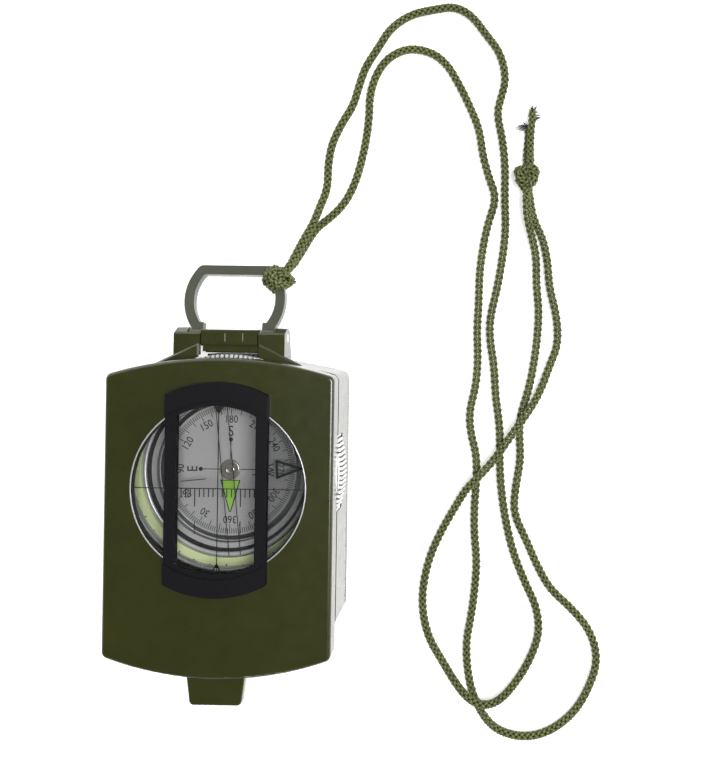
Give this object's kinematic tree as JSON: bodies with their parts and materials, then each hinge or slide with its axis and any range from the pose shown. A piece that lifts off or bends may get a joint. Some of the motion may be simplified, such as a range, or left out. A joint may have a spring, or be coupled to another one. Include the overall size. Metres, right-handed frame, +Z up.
{
  "type": "folding sighting compass",
  "caption": "Folding pocket compass with hinged sight lid, turning bezel, floating dial, flip-up magnifier, thumb ring and a knotted braided lanyard.",
  "frame": {"origin": "on the underside of the bottom cover, below the dial's axis", "axes": "+Z up out of the lid, +Y towards the thumb ring, +X towards the ruled side of the case"},
  "size_m": [0.1435, 0.2257, 0.028],
  "materials": {
    "case_paint": "baked olive paint with a fine grain, satin",
    "ring_paint": "olive grey paint, satin",
    "frame_black": "fine crackle black, matte",
    "cover_black": "moulded, matte",
    "cup_black": "moulded, satin",
    "seal_rubber": "matte",
    "screw_steel": "turned",
    "pin_steel": "ground",
    "bezel_alloy": "knurled, bright",
    "lume_green": "luminous compound, matte",
    "card_silver": "satin with printed scale",
    "jewel_brass": "polished",
    "clear_glass": "clear, polished",
    "cord_olive": "braided polyester, loose lay"
  },
  "bodies": {
    "case": {"base_housing": "case_paint", "bottom_cover": "cover_black", "cover_gasket": "seal_rubber", "cover_screw_1": "screw_steel", "cover_screw_2": "screw_steel", "cover_screw_3": "screw_steel", "cover_screw_4": "screw_steel", "capsule_cup": "cup_black", "capsule_seal": "seal_rubber", "capsule_glass": "clear_glass", "filler_plug": "screw_steel", "pivot_post": "pin_steel", "bezel_click_spring": "pin_steel", "ring_pin": "pin_steel", "lid_pin": "pin_steel", "ring_washer_left": "pin_steel", "ring_washer_right": "pin_steel", "cord_strand_over": "cord_olive", "cord_strand_under": "cord_olive", "cord_end_knot": "cord_olive", "cord_tail_long": "cord_olive", "cord_tail_short": "cord_olive"},
    "dial": {"dial_card": "card_silver", "pivot_jewel": "jewel_brass", "dial_magnet": "pin_steel", "jewel_cap": "jewel_brass"},
    "bezel": {"bezel_ring": "bezel_alloy", "luminous_ring": "lume_green", "glass_spacer": "cup_black", "bezel_glass": "clear_glass"},
    "lid": {"lid_shell": "case_paint", "window_seal": "seal_rubber", "lid_window": "clear_glass", "sight_frame": "frame_black", "frame_screw_1": "screw_steel", "frame_screw_2": "screw_steel", "frame_screw_3": "screw_steel", "frame_screw_4": "screw_steel"},
    "eyepiece": {"eyepiece_block": "case_paint", "lens_holder": "frame_black", "magnifier_lens": "clear_glass", "lens_ring": "frame_black", "holder_screw_left": "screw_steel", "holder_screw_right": "screw_steel"},
    "ring": {"thumb_ring": "ring_paint", "cord_hitch": "cord_olive"}
  },
  "joints": [
    {"name": "dial_turn", "type": "hinge", "parent": "case", "child": "dial", "pos_m": [0, 0, 0.014], "axis": [0, 0, 1], "continuous": true},
    {"name": "bezel_turn", "type": "hinge", "parent": "case", "child": "bezel", "pos_m": [0, 0, 0.0154], "axis": [0, 0, 1], "continuous": true},
    {"name": "lid_hinge", "type": "hinge", "parent": "case", "child": "lid", "pos_m": [0, -0.0525, 0.015], "axis": [1, 0, 0], "range_deg": [0, 110]},
    {"name": "eyepiece_hinge", "type": "hinge", "parent": "case", "child": "eyepiece", "pos_m": [0, 0.0384, 0.0138], "axis": [1, 0, 0], "range_deg": [0, 165]},
    {"name": "ring_hinge", "type": "hinge", "parent": "case", "child": "ring", "pos_m": [0, 0.0384, 0.0138], "axis": [1, 0, 0], "range_deg": [-60, 50]}
  ]
}
